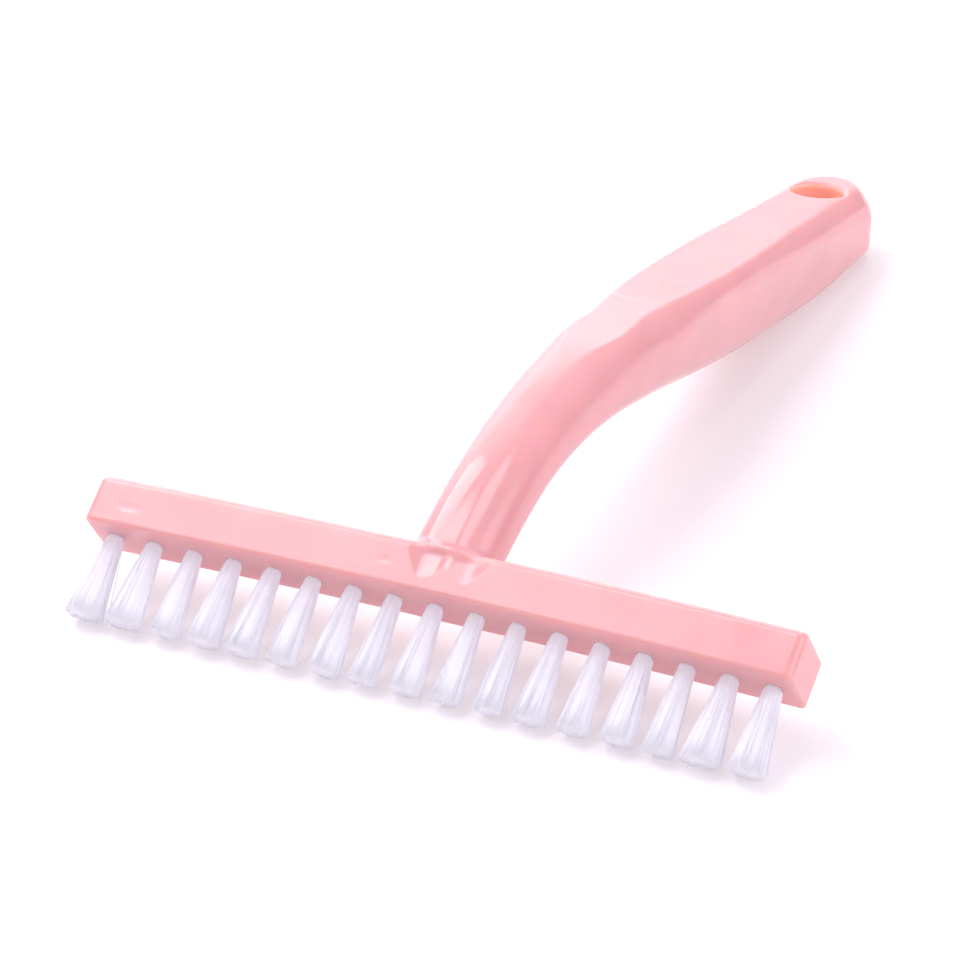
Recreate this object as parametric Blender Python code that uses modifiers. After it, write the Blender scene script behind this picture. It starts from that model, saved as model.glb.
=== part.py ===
"""Blind cleaning brush.

A one-piece plastic moulding, a head bar with a curved neck and a grip, carries one row of nylon
tufts. Each tuft is folded over a flat metal anchor at the bottom of a blind hole in the head.

The brush is built upright in its own frame: X along the head, Y from its front to its back and Z
from the bristles to the handle, with the origin in the middle of the head. It is then leant as it
lies on a table, on the tips of its tufts and the underside of its grip, over the world origin.
"""

import math

import bmesh
import bpy
from mathutils import Matrix, Vector
from mathutils.geometry import interpolate_bezier

BRUSH_NAME = "blind_cleaning_brush"

# Gap between two pieces that touch, and how far a cutter runs past what it cuts
CLEARANCE = 0.0003
OVERRUN = 0.002
SEAM = CLEARANCE / 10

# Head bar
HEAD_LENGTH = 0.1806
HEAD_DEPTH = 0.0164
HEAD_HEIGHT = 0.0123
HEAD_CREST_RADIUS = 0.0020
HEAD_EDGE_RADIUS = 0.0009
HEAD_ROUNDING_SEGMENTS = 3
HEAD_BOW = 0.0010
HEAD_BOW_RISE_SHARE = 0.45
HEAD_BOW_STEPS = 10

# Row of tuft holes along the underside of the head
TUFT_COUNT = 17
TUFT_ROW_MARGIN = 0.0059
TUFT_HOLE_DIAMETER = 0.0038
TUFT_HOLE_DEPTH = 0.0080
TUFT_HOLE_SIDES = 16

# Tufts: straight filaments that fan out from the hole to the trimmed tip
TRIM_LENGTH = 0.0222
TIP_DIAMETER = 0.0082
STRAND_COUNT = 26
STRAND_THICKNESS = 0.00044
STRAND_SIDES = 3
STAND_FLAT = 0.0005
GOLDEN_ANGLE = math.radians(137.508)

# Anchors: flat strips whose chamfered ends bite into the wall of the hole
ANCHOR_THICKNESS = 0.0004
ANCHOR_HEIGHT = 0.0016
ANCHOR_BITE = 0.0005
ANCHOR_CHAMFER = 0.0003
ANCHOR_FOLD = 0.0007
ANCHOR_TURN = math.radians(25.0)

# Handle: the line down the middle of its front, a curve up the neck and a straight along the grip
NECK_REACH = 0.0776
NECK_RISE = 0.1249
NECK_PULL = 0.0600
NECK_END_PULL = 0.0563
NECK_LEAN = math.radians(8.0)
GRIP_LENGTH = 0.0996
GRIP_LEAN = math.radians(44.5)
NECK_STEPS = 26
GRIP_STEPS = 8
END_STEPS = 8
END_TRIM_ANGLE = math.radians(9.0)

# Handle: its sections
NECK_WIDTH = 0.0210
NECK_DEPTH = 0.0174
NECK_ROUNDNESS = 2.1
GRIP_WIDTH = 0.0262
BELLY_DEPTH = 0.0280
END_DEPTH = 0.0182
REST_END_REACH = 0.0093
REST_CROWN = 0.0058
END_CROWN = 0.0090
GRIP_ROUNDNESS = 2.4
END_ROUNDNESS = 6.0
UPPER_SIDE_STEPS = 4
LOWER_SIDE_STEPS = 7

# Handle: shares of its length between which one size turns into the next
SWELL_SHARES = (0.12, 0.46)
REST_SHARES = (0.36, 0.52)
BELLY_SHARES = (0.08, 0.70)
END_SHARES = (0.76, 1.02)

# Handle: width of the flat on its front at shares of its length, narrow up the neck, pinched
# where the shoulder runs into the thumb rest and narrower again towards the hang hole
FLAT_WIDTH_SHARES = (
    (0.20, 0.0058),
    (0.25, 0.0060),
    (0.30, 0.0092),
    (0.345, 0.0128),
    (0.395, 0.0124),
    (0.45, 0.0146),
    (0.50, 0.0170),
    (0.56, 0.0188),
    (0.62, 0.0196),
    (0.69, 0.0190),
    (0.77, 0.0170),
    (0.85, 0.0158),
    (1.00, 0.0150),
)

# Half width of the flat, at the very end of the grip, as a share of the plan's
END_FLAT_SHARE = 0.3

# Root of the neck: a hollow fillet on top of the head, and below it the neck's front runs on
# down the head as a low swelling before it dives in
ROOT_FILLET = 0.0022
ROOT_SWELL_SHARE = 0.33
ROOT_INSET = 0.0005
ROOT_SINK_SHARE = 0.75
ROOT_STEPS = 4

# Hang hole through the end of the grip, square to the thumb rest
HANG_DIAMETER = 0.0140
HANG_SETBACK = 0.0192
HANG_RIM = 0.0008
HANG_SIDES = 32

HEAD_TOP = HEAD_HEIGHT / 2
HEAD_UNDERSIDE = -HEAD_HEIGHT / 2
HEAD_FRONT = -HEAD_DEPTH / 2
NECK_FRONT = HEAD_FRONT
TUFT_PITCH = (HEAD_LENGTH - 2 * TUFT_ROW_MARGIN) / (TUFT_COUNT - 1)
TUFT_TIP = HEAD_UNDERSIDE - TRIM_LENGTH
HOLE_BOTTOM = HEAD_UNDERSIDE + TUFT_HOLE_DEPTH
PLUG_TOP = HOLE_BOTTOM - CLEARANCE
PLUG_RADIUS = TUFT_HOLE_DIAMETER / 2 - CLEARANCE
SLOT_TOP = PLUG_TOP - ANCHOR_FOLD
ANCHOR_TOP = SLOT_TOP - CLEARANCE
ANCHOR_BOTTOM = ANCHOR_TOP - ANCHOR_HEIGHT
SLOT_BOTTOM = ANCHOR_BOTTOM - CLEARANCE
ANCHOR_LENGTH = TUFT_HOLE_DIAMETER + 2 * ANCHOR_BITE

PINK_PLASTIC = ("pink_plastic", (0.86, 0.46, 0.50, 1.0), 0.28, 0.0)
WHITE_NYLON = ("white_nylon", (0.90, 0.90, 0.95, 1.0), 0.45, 0.0)
ANCHOR_STEEL = ("anchor_steel", (0.60, 0.58, 0.55, 1.0), 0.35, 1.0)


def clear_scene():
    for item in list(bpy.data.objects):
        bpy.data.objects.remove(item, do_unlink=True)


def make_collection(name):
    group = bpy.data.collections.new(name)
    bpy.context.scene.collection.children.link(group)
    return group


def make_material(finish):
    name, colour, roughness, metallic = finish
    material = bpy.data.materials.new(name)
    material.use_nodes = True
    shader = material.node_tree.nodes["Principled BSDF"]
    shader.inputs["Base Color"].default_value = colour
    shader.inputs["Roughness"].default_value = roughness
    shader.inputs["Metallic"].default_value = metallic
    material.diffuse_color = colour
    return material


def add_object(name, mesh, group, material=None):
    item = bpy.data.objects.new(name, mesh)
    group.objects.link(item)
    if material is not None:
        mesh.materials.clear()
        mesh.materials.append(material)
    return item


def mesh_from(bm, name):
    """Closes the edit of a bmesh, with its faces turned outwards."""
    bmesh.ops.recalc_face_normals(bm, faces=bm.faces)
    mesh = bpy.data.meshes.new(name)
    bm.to_mesh(mesh)
    bm.free()
    return mesh


def add_cutter(name, mesh, cutters):
    """A guide body that joins or cuts another one and isn't a part."""
    item = add_object(name, mesh, cutters)
    item.hide_render = True
    item.display_type = "WIRE"
    return item


def add_boolean(item, other, operation):
    modifier = item.modifiers.new(other.name, "BOOLEAN")
    modifier.operation = operation
    modifier.solver = "EXACT"
    modifier.object = other


def evaluated_mesh(item, name):
    """The mesh of an object with all its modifiers, as a mesh of its own."""
    bpy.context.view_layer.update()
    graph = bpy.context.evaluated_depsgraph_get()
    mesh = bpy.data.meshes.new_from_object(item.evaluated_get(graph))
    mesh.name = name
    return mesh


def shade_round(mesh, angle):
    mesh.shade_smooth()
    mesh.set_sharp_from_angle(angle=angle)


def box_mesh(name, size, centre, turn=0.0):
    bm = bmesh.new()
    bmesh.ops.create_cube(bm, size=1.0)
    bmesh.ops.scale(bm, vec=size, verts=bm.verts)
    bmesh.ops.rotate(bm, matrix=Matrix.Rotation(turn, 3, "Z"), verts=bm.verts)
    bmesh.ops.translate(bm, vec=centre, verts=bm.verts)
    return mesh_from(bm, name)


def ease(share, limits):
    """0 before the limits, 1 past them, and a smooth turn between them."""
    start, end = limits
    position = min(max((share - start) / (end - start), 0.0), 1.0)
    return position * position * (3.0 - 2.0 * position)


def between(first, second, share):
    return first + (second - first) * share


def along_curve(share, knots):
    """Height of the smooth curve through the knots, level before the first and past the last."""
    shares, heights = zip(*knots)
    share = min(max(share, shares[0]), shares[-1])
    last = len(knots) - 2
    index = min(sum(1 for knot in shares[1:] if share > knot), last)
    slopes = []
    for knot in (index, index + 1):
        before, after = max(knot - 1, 0), min(knot + 1, last + 1)
        slopes.append((heights[after] - heights[before]) / (shares[after] - shares[before]))
    span = shares[index + 1] - shares[index]
    place = (share - shares[index]) / span
    rise = ease(place, (0.0, 1.0))
    height = between(heights[index], heights[index + 1], rise)
    height += slopes[0] * span * place * (1.0 - place) ** 2
    return height - slopes[1] * span * place**2 * (1.0 - place)


# Head


def head_rise(place):
    """How far the head's bow lifts it at a place along it: up in the middle, down at the ends."""
    reach = place / (HEAD_LENGTH / 2)
    return HEAD_BOW * (HEAD_BOW_RISE_SHARE - reach * reach)


def is_crest(edge):
    """True of the top front edge and of the upright edges at the two ends of the front."""
    first, second = (vertex.co for vertex in edge.verts)
    on_front = first.y < 0 and second.y < 0
    upright = abs(first.z - second.z) > HEAD_TOP
    along_top = first.z > 0 and second.z > 0
    return on_front and (upright or along_top)


def head_mesh():
    bm = bmesh.new()
    bmesh.ops.create_cube(bm, size=1.0)
    bmesh.ops.scale(bm, vec=(HEAD_LENGTH, HEAD_DEPTH, HEAD_HEIGHT), verts=bm.verts)
    weight = bm.edges.layers.float.new("bevel_weight_edge")
    for edge in bm.edges:
        edge[weight] = 1.0 if is_crest(edge) else HEAD_EDGE_RADIUS / HEAD_CREST_RADIUS
    return mesh_from(bm, "head")


def round_edges(item):
    modifier = item.modifiers.new("rounded edges", "BEVEL")
    modifier.limit_method = "WEIGHT"
    modifier.width = HEAD_CREST_RADIUS
    modifier.segments = HEAD_ROUNDING_SEGMENTS


def bowed_mesh(name, straight):
    """A mesh cut across into even steps along the head, which then follow the head's bow."""
    bm = bmesh.new()
    bm.from_mesh(straight)
    for step in range(1, HEAD_BOW_STEPS):
        place = between(-HEAD_LENGTH / 2, HEAD_LENGTH / 2, step / HEAD_BOW_STEPS)
        everything = bm.verts[:] + bm.edges[:] + bm.faces[:]
        bmesh.ops.bisect_plane(bm, geom=everything, plane_co=(place, 0, 0), plane_no=(1, 0, 0))
    for vertex in bm.verts:
        vertex.co.z += head_rise(vertex.co.x)
    return mesh_from(bm, name)


# Handle


def lean_direction(lean):
    return Vector((0.0, math.sin(lean), math.cos(lean)))


def front_of(direction):
    """Square to the handle's direction, out of its front."""
    return Vector((0.0, -direction.z, direction.y))


def neck_line():
    start = Vector((0.0, NECK_FRONT, HEAD_TOP))
    end = start + Vector((0.0, NECK_REACH, NECK_RISE))
    leaving = start + lean_direction(NECK_LEAN) * NECK_PULL
    arriving = end - lean_direction(GRIP_LEAN) * NECK_END_PULL
    points = interpolate_bezier(start, leaving, arriving, end, NECK_STEPS + 1)
    directions = [lean_direction(NECK_LEAN)]
    for before, after in zip(points, points[2:]):
        directions.append((after - before).normalized())
    directions.append(lean_direction(GRIP_LEAN))
    return points, directions


def neck_length():
    points, _ = neck_line()
    return sum((after - before).length for before, after in zip(points, points[1:]))


def section_sizes(share):
    """Width, depth, flat, crown and roundness of the handle at a share of its length."""
    rest = ease(share, REST_SHARES)
    width = between(NECK_WIDTH, GRIP_WIDTH, ease(share, SWELL_SHARES))
    depth = between(NECK_DEPTH, BELLY_DEPTH, ease(share, BELLY_SHARES))
    depth = between(depth, END_DEPTH, ease(share, END_SHARES))
    flat = along_curve(share, FLAT_WIDTH_SHARES)
    crown = between(depth / 2, REST_CROWN, rest)
    crown = between(crown, END_CROWN, ease(share, END_SHARES))
    roundness = between(NECK_ROUNDNESS, GRIP_ROUNDNESS, rest)
    roundness = between(roundness, END_ROUNDNESS, ease(share, END_SHARES))
    return width, depth, flat, crown, roundness


def half_section(sizes, plan_width):
    """Points of the right half, as distances sideways and down from the middle of the flat.

    An oval whose top is planed off: it is widest at the crown's depth below the flat, and no
    wider than the plan, which cuts its lower sides upright. Only its lower half turns square."""
    width, depth, flat, crown, roundness = sizes
    upper_power = 2.0 / min(roundness, GRIP_ROUNDNESS)
    power = 2.0 / roundness
    half_plan = min(width, plan_width) / 2
    half_flat = flat / 2
    corner = math.acos((half_flat / half_plan) ** (1.0 / upper_power))
    upper_rise = crown / math.sin(corner) ** upper_power
    points = [(0.0, 0.0), (half_flat, 0.0)]
    for step in range(1, UPPER_SIDE_STEPS + 1):
        angle = corner * (1.0 - step / UPPER_SIDE_STEPS)
        rise = upper_rise * math.sin(angle) ** upper_power
        points.append((half_plan * math.cos(angle) ** upper_power, crown - rise))
    for step in range(1, LOWER_SIDE_STEPS):
        angle = math.pi / 2 * step / LOWER_SIDE_STEPS
        drop = (depth - crown) * math.sin(angle) ** power
        side = min(width / 2 * math.cos(angle) ** power, half_plan)
        points.append((side, crown + drop))
    points.append((0.0, depth))
    return points


def section_ring(front, direction, sizes, plan_width=GRIP_WIDTH):
    """One closed section of the handle, cut off at the sides where the plan is narrower."""
    outward = front_of(direction)
    half = half_section(sizes, plan_width)
    mirrored = [(-side, down) for side, down in reversed(half[1:-1])]
    return [front + Vector((side, 0.0, 0.0)) - outward * down for side, down in half + mirrored]


def end_ring(front, direction, sizes, along):
    """A section within the round end of the plan, where the thumb rest rolls over to the wall."""
    width, depth, flat, crown, roundness = sizes
    plan_radius = GRIP_WIDTH / 2
    half_plan = math.sqrt(plan_radius * plan_radius - along * along)
    rolled = max(along - REST_END_REACH, 0.0) / (plan_radius - REST_END_REACH)
    drop = crown * (1.0 - math.sqrt(1.0 - rolled * rolled))
    reached = min(along / REST_END_REACH, 1.0)
    half_flat = max(flat / 2 * math.sqrt(1.0 - reached * reached), half_plan * END_FLAT_SHARE)
    rounded = (width, depth - drop, 2 * half_flat, crown - drop, roundness)
    lowered = front - front_of(direction) * drop
    return section_ring(lowered, direction, rounded, 2 * half_plan)


def root_rings():
    """The sunk root in the head and the hollow fillet above it, where the neck flares out."""
    direction = lean_direction(NECK_LEAN)
    start = Vector((0.0, NECK_FRONT, HEAD_TOP))
    width, depth, flat, crown, roundness = section_sizes(0.0)
    sizes = (width + 2 * ROOT_FILLET, depth, flat, crown, roundness)
    sunk = start + Vector((0.0, ROOT_INSET, -HEAD_HEIGHT * ROOT_SINK_SHARE))
    swollen = start - direction * HEAD_HEIGHT * ROOT_SWELL_SHARE
    rings = [section_ring(sunk, direction, sizes), section_ring(swollen, direction, sizes)]
    for step in range(ROOT_STEPS):
        angle = math.pi / 2 * step / ROOT_STEPS
        rise = ROOT_FILLET * (1.0 - math.cos(angle))
        flare = ROOT_FILLET * (1.0 - math.sin(angle))
        sizes = (width + 2 * flare, depth, flat, crown, roundness)
        rings.append(section_ring(start + direction * rise, direction, sizes))
    return rings


def handle_rings():
    points, directions = neck_line()
    curve_length = neck_length()
    length = curve_length + GRIP_LENGTH
    rings = root_rings()
    travelled = 0.0
    for before, point, direction in zip(points, points[1:], directions[1:]):
        travelled += (point - before).length
        if travelled > 2 * ROOT_FILLET:
            rings.append(section_ring(point, direction, section_sizes(travelled / length)))
    direction = lean_direction(GRIP_LEAN)
    turn = points[-1]
    plan_radius = GRIP_WIDTH / 2
    straight = GRIP_LENGTH - plan_radius
    for step in range(1, GRIP_STEPS + 1):
        along = straight * step / GRIP_STEPS
        sizes = section_sizes((curve_length + along) / length)
        rings.append(section_ring(turn + direction * along, direction, sizes))
    for step in range(1, END_STEPS + 1):
        angle = between(math.pi / 2, END_TRIM_ANGLE, step / END_STEPS)
        past_straight = plan_radius * math.cos(angle)
        along = straight + past_straight
        sizes = section_sizes((curve_length + along) / length)
        rings.append(end_ring(turn + direction * along, direction, sizes, past_straight))
    return rings


def loft_mesh(name, rings):
    """Skins closed sections that have like numbers of points, and caps the two ends."""
    bm = bmesh.new()
    loops = [[bm.verts.new(point) for point in ring] for ring in rings]
    for lower, upper in zip(loops, loops[1:]):
        for index in range(len(lower)):
            following = (index + 1) % len(lower)
            bm.faces.new((lower[index], lower[following], upper[following], upper[index]))
    bm.faces.new(reversed(loops[0]))
    bm.faces.new(loops[-1])
    return mesh_from(bm, name)


def hang_hole_mesh():
    """A turned cutter: straight through the grip and flared to a soft rim at the thumb rest."""
    radius = HANG_DIAMETER / 2
    depth = BELLY_DEPTH + OVERRUN
    profile = [
        (0.0, OVERRUN),
        (radius + HANG_RIM, OVERRUN),
        (radius + HANG_RIM, 0.0),
        (radius, -HANG_RIM),
        (radius, -depth),
        (0.0, -depth),
    ]
    bm = bmesh.new()
    outline = [bm.verts.new((side, 0.0, rise)) for side, rise in profile]
    edges = [bm.edges.new(pair) for pair in zip(outline, outline[1:])]
    bmesh.ops.spin(
        bm, geom=outline + edges, cent=(0, 0, 0), axis=(0, 0, 1), angle=math.tau, steps=HANG_SIDES
    )
    bmesh.ops.remove_doubles(bm, verts=bm.verts, dist=SEAM)
    return mesh_from(bm, "hang_hole")


def hang_hole_place():
    points, _ = neck_line()
    direction = lean_direction(GRIP_LEAN)
    centre = points[-1] + direction * (GRIP_LENGTH - HANG_SETBACK)
    axes = Matrix((Vector((1.0, 0.0, 0.0)), direction, front_of(direction))).transposed()
    return Matrix.Translation(centre) @ axes.to_4x4()


# Tufts and their anchors


def tuft_places():
    middle = (TUFT_COUNT - 1) / 2
    return [(index - middle) * TUFT_PITCH for index in range(TUFT_COUNT)]


def tuft_pocket_mesh(cutters):
    """A blind hole and, near its bottom, the slot that the anchor's ends bite out of its wall."""
    bm = bmesh.new()
    length = TUFT_HOLE_DEPTH + OVERRUN
    bmesh.ops.create_cone(
        bm,
        cap_ends=True,
        segments=TUFT_HOLE_SIDES,
        radius1=TUFT_HOLE_DIAMETER / 2,
        radius2=TUFT_HOLE_DIAMETER / 2,
        depth=length,
    )
    bmesh.ops.translate(bm, vec=(0.0, 0.0, HOLE_BOTTOM - length / 2), verts=bm.verts)
    hole = add_cutter("one_tuft_hole", mesh_from(bm, "one_tuft_hole"), cutters)
    slot_size = (
        ANCHOR_LENGTH + 2 * CLEARANCE,
        ANCHOR_THICKNESS + 2 * CLEARANCE,
        SLOT_TOP - SLOT_BOTTOM,
    )
    slot_centre = (0.0, 0.0, (SLOT_TOP + SLOT_BOTTOM) / 2)
    slot_mesh = box_mesh("one_anchor_slot", slot_size, slot_centre, ANCHOR_TURN)
    slot = add_cutter("one_anchor_slot", slot_mesh, cutters)
    add_boolean(hole, slot, "UNION")
    return evaluated_mesh(hole, "tuft_pocket")


def tuft_pockets_mesh(pocket):
    """All pockets along the row, as one cutter of separate bodies."""
    bm = bmesh.new()
    for place in tuft_places():
        fresh = len(bm.verts)
        bm.from_mesh(pocket)
        bm.verts.ensure_lookup_table()
        raised = (place, 0.0, head_rise(place))
        bmesh.ops.translate(bm, vec=raised, verts=bm.verts[fresh:])
    return mesh_from(bm, "tuft_pockets")


def strand_corners(rise=0.0):
    """The roots, lifted with the head, and the level tips of each filament's corners.

    The filaments stand on a spiral of even spacing, each splayed away from the tuft's middle."""
    root_height = HEAD_UNDERSIDE + CLEARANCE + rise
    strand_radius = STRAND_THICKNESS / 2
    root_radius = PLUG_RADIUS - strand_radius
    splay = (TIP_DIAMETER / 2 - strand_radius) / root_radius
    strands = []
    for strand in range(STRAND_COUNT):
        distance = root_radius * math.sqrt((strand + 1 / 2) / STRAND_COUNT)
        bearing = strand * GOLDEN_ANGLE
        middle = Vector((math.cos(bearing), math.sin(bearing), 0.0)) * distance
        roots, tips = [], []
        for side in range(STRAND_SIDES):
            angle = bearing + math.tau * side / STRAND_SIDES
            corner = Vector((math.cos(angle), math.sin(angle), 0.0)) * strand_radius
            roots.append(middle + corner + Vector((0.0, 0.0, root_height)))
            tips.append(middle * splay + corner + Vector((0.0, 0.0, TUFT_TIP)))
        strands.append((roots, tips))
    return strands


def lean_to_handle(stand):
    """Angle between the brush's Z axis and a table through a point that the handle rests on."""
    outline = [point for ring in handle_rings() for point in ring]
    return max(math.atan2(point.y - stand.y, point.z - stand.z) for point in outline)


def normal_of(lean):
    return Vector((0.0, -math.cos(lean), math.sin(lean)))


def stand_point():
    """Where the table meets the tufts, a little above the rearmost tip, which it cuts flat."""
    tips = [tip for _, ends in strand_corners() for tip in ends]
    rearmost = max(tips, key=lambda tip: tip.y)
    return rearmost + normal_of(lean_to_handle(rearmost)) * STAND_FLAT


def table_lean():
    return lean_to_handle(stand_point())


def cut_at_table(root, tip, stand, normal):
    """The tip of a filament's corner, cut back to the table where it would reach below it."""
    below = (tip - stand).dot(normal)
    if below >= 0:
        return tip
    above = (root - stand).dot(normal)
    return root.lerp(tip, above / (above - below))


def strands_mesh(rise):
    bm = bmesh.new()
    stand = stand_point()
    normal = normal_of(table_lean())
    for roots, tips in strand_corners(rise):
        lower = [bm.verts.new(root) for root in roots]
        cut = [cut_at_table(root, tip, stand, normal) for root, tip in zip(roots, tips)]
        upper = [bm.verts.new(tip) for tip in cut]
        for side in range(STRAND_SIDES):
            following = (side + 1) % STRAND_SIDES
            bm.faces.new((lower[side], lower[following], upper[following], upper[side]))
        bm.faces.new(lower)
        bm.faces.new(upper)
    return mesh_from(bm, "strands")


def plug_mesh(rise):
    """The gathered root of a tuft, as it fills the hole."""
    bm = bmesh.new()
    length = PLUG_TOP - HEAD_UNDERSIDE
    bmesh.ops.create_cone(
        bm,
        cap_ends=True,
        segments=TUFT_HOLE_SIDES,
        radius1=PLUG_RADIUS,
        radius2=PLUG_RADIUS,
        depth=length,
    )
    middle = HEAD_UNDERSIDE + length / 2 + rise
    bmesh.ops.translate(bm, vec=(0.0, 0.0, middle), verts=bm.verts)
    return mesh_from(bm, "plug")


def tuft_mesh(cutters, rise):
    """A plug with its filaments fused to it and a slot across its fold for the anchor.

    The plug is lifted with the head, and the filaments are trimmed to one line all the same."""
    plug = add_cutter("tuft_plug", plug_mesh(rise), cutters)
    strands = add_cutter("tuft_strands", strands_mesh(rise), cutters)
    slot_size = (
        TUFT_HOLE_DIAMETER,
        ANCHOR_THICKNESS + 2 * CLEARANCE,
        SLOT_TOP - SLOT_BOTTOM,
    )
    slot_centre = (0.0, 0.0, (SLOT_TOP + SLOT_BOTTOM) / 2 + rise)
    slot_mesh = box_mesh("plug_slot", slot_size, slot_centre, ANCHOR_TURN)
    slot = add_cutter("plug_slot", slot_mesh, cutters)
    add_boolean(plug, strands, "UNION")
    add_boolean(plug, slot, "DIFFERENCE")
    mesh = evaluated_mesh(plug, "tuft")
    shade_round(mesh, math.radians(50.0))
    return mesh


def anchor_mesh():
    """A flat strip with its two leading corners chamfered."""
    bm = bmesh.new()
    bmesh.ops.create_cube(bm, size=1.0)
    bmesh.ops.scale(bm, vec=(ANCHOR_LENGTH, ANCHOR_THICKNESS, ANCHOR_HEIGHT), verts=bm.verts)
    leading = [
        edge
        for edge in bm.edges
        if all(vertex.co.z > 0 for vertex in edge.verts)
        and edge.verts[0].co.x * edge.verts[1].co.x > 0
    ]
    bmesh.ops.bevel(bm, geom=leading, offset=ANCHOR_CHAMFER, segments=1, affect="EDGES")
    bmesh.ops.rotate(bm, matrix=Matrix.Rotation(ANCHOR_TURN, 3, "Z"), verts=bm.verts)
    centre = (0.0, 0.0, (ANCHOR_TOP + ANCHOR_BOTTOM) / 2)
    bmesh.ops.translate(bm, vec=centre, verts=bm.verts)
    return mesh_from(bm, "anchor")


# Assembly


def build_body(parts, cutters, material):
    head = add_cutter("straight_head", head_mesh(), cutters)
    round_edges(head)
    bowed = bowed_mesh("bowed_head", evaluated_mesh(head, "rounded_head"))
    body = add_object("brush_body", bowed, parts, material)
    handle = add_cutter("handle", loft_mesh("handle", handle_rings()), cutters)
    pocket = tuft_pocket_mesh(cutters)
    pockets = add_cutter("tuft_pockets", tuft_pockets_mesh(pocket), cutters)
    hang_hole = add_cutter("hang_hole", hang_hole_mesh(), cutters)
    hang_hole.matrix_world = hang_hole_place()
    add_boolean(body, handle, "UNION")
    add_boolean(body, pockets, "DIFFERENCE")
    add_boolean(body, hang_hole, "DIFFERENCE")
    solid = evaluated_mesh(body, "brush_body")
    body.modifiers.clear()
    body.data = solid
    shade_round(solid, math.radians(32.0))
    return body


def build_tufts(parts, cutters, material):
    """One tuft for each place along the row, numbered from the left end of the head."""
    row = []
    for number, place in enumerate(tuft_places(), start=1):
        mesh = tuft_mesh(cutters, head_rise(place))
        tuft = add_object(f"tuft_{number:02d}", mesh, parts, material)
        tuft.location.x = place
        row.append(tuft)
    return row


def build_anchors(parts, material):
    """One anchor for each tuft, which all share a mesh."""
    mesh = anchor_mesh()
    row = []
    for number, place in enumerate(tuft_places(), start=1):
        anchor = add_object(f"anchor_{number:02d}", mesh, parts, material)
        anchor.location = (place, 0.0, head_rise(place))
        row.append(anchor)
    return row


def lay_on_table(brush, pieces):
    """Leans the brush on its tufts and its handle and centres it over the world origin."""
    brush.rotation_euler.x = table_lean() - math.pi / 2
    bpy.context.view_layer.update()
    corners = [item.matrix_world @ vertex.co for item in pieces for vertex in item.data.vertices]
    low = Vector(min(corner[axis] for corner in corners) for axis in range(3))
    high = Vector(max(corner[axis] for corner in corners) for axis in range(3))
    middle = (low + high) / 2
    brush.location = Vector((-middle.x, -middle.y, -low.z))


def main():
    clear_scene()
    parts = make_collection(BRUSH_NAME)
    cutters = make_collection("cutters")
    brush = bpy.data.objects.new("brush_frame", None)
    parts.objects.link(brush)
    body = build_body(parts, cutters, make_material(PINK_PLASTIC))
    tufts = build_tufts(parts, cutters, make_material(WHITE_NYLON))
    anchors = build_anchors(parts, make_material(ANCHOR_STEEL))
    pieces = [body] + tufts + anchors
    for piece in pieces:
        piece.parent = brush
    lay_on_table(brush, pieces)


main()
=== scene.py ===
"""Blind cleaning brush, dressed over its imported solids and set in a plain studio.

The moulded body is one smooth skin. It is drawn where a distance field is zero: the field joins
the head bar and the handle with a soft root, rounds every edge to its own radius and drills the
holes.
Each tuft is a bundle of nylon filaments, folded over its anchor and fanned out to a trimmed tip.

Everything is worked out in the brush's own frame, X along the head, Y from its front to its back
and Z from the bristles to the handle, and then leant as the brush lies on the table.
"""

import math

import bpy
import numpy as np
from mathutils import Euler, Matrix, Vector


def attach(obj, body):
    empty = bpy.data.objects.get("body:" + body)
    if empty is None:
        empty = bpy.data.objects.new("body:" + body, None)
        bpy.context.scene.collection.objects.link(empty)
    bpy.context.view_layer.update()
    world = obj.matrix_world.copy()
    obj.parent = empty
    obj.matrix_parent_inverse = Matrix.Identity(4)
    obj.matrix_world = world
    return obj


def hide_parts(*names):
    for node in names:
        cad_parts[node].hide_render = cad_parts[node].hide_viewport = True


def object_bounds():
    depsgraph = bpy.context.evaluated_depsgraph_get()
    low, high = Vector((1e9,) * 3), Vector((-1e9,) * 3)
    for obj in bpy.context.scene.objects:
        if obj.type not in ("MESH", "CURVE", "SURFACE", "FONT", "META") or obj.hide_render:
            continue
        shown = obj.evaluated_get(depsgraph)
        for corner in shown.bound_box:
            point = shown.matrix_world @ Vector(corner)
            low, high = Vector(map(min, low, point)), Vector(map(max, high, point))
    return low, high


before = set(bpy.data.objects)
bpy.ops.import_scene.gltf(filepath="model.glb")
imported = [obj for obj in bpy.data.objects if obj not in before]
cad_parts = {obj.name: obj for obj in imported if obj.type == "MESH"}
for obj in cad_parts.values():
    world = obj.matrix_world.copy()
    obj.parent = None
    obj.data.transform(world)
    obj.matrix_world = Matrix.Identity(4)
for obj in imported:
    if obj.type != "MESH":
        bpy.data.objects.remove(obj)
SOLID_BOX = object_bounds()

bl_info = {
    "name": "Blind cleaning brush",
    "version": (1, 0, 0),
    "blender": (4, 5, 0),
    "location": "View3D > Sidebar > Brush",
    "description": "Moulded body, nylon tufts, steel anchors and studio of a blind cleaning brush",
    "category": "Add Mesh",
}

BODY = "root"

# How the brush lies on the table
BRUSH_LEAN = math.radians(-55.446596)
BRUSH_PLACE = (0.0, -0.10931359, 0.01852486)

# Head bar
HEAD_LENGTH = 0.1806
HEAD_DEPTH = 0.0164
HEAD_HEIGHT = 0.0123
HEAD_CREST_RADIUS = 0.0020
HEAD_CREST_TURN = (-0.0020, 0.0)
HEAD_EDGE_RADIUS = 0.0009
HEAD_TOP = HEAD_HEIGHT / 2
HEAD_UNDERSIDE = -HEAD_HEIGHT / 2
HEAD_FRONT = -HEAD_DEPTH / 2
HEAD_BOW = 0.0010
HEAD_BOW_RISE_SHARE = 0.45

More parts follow.
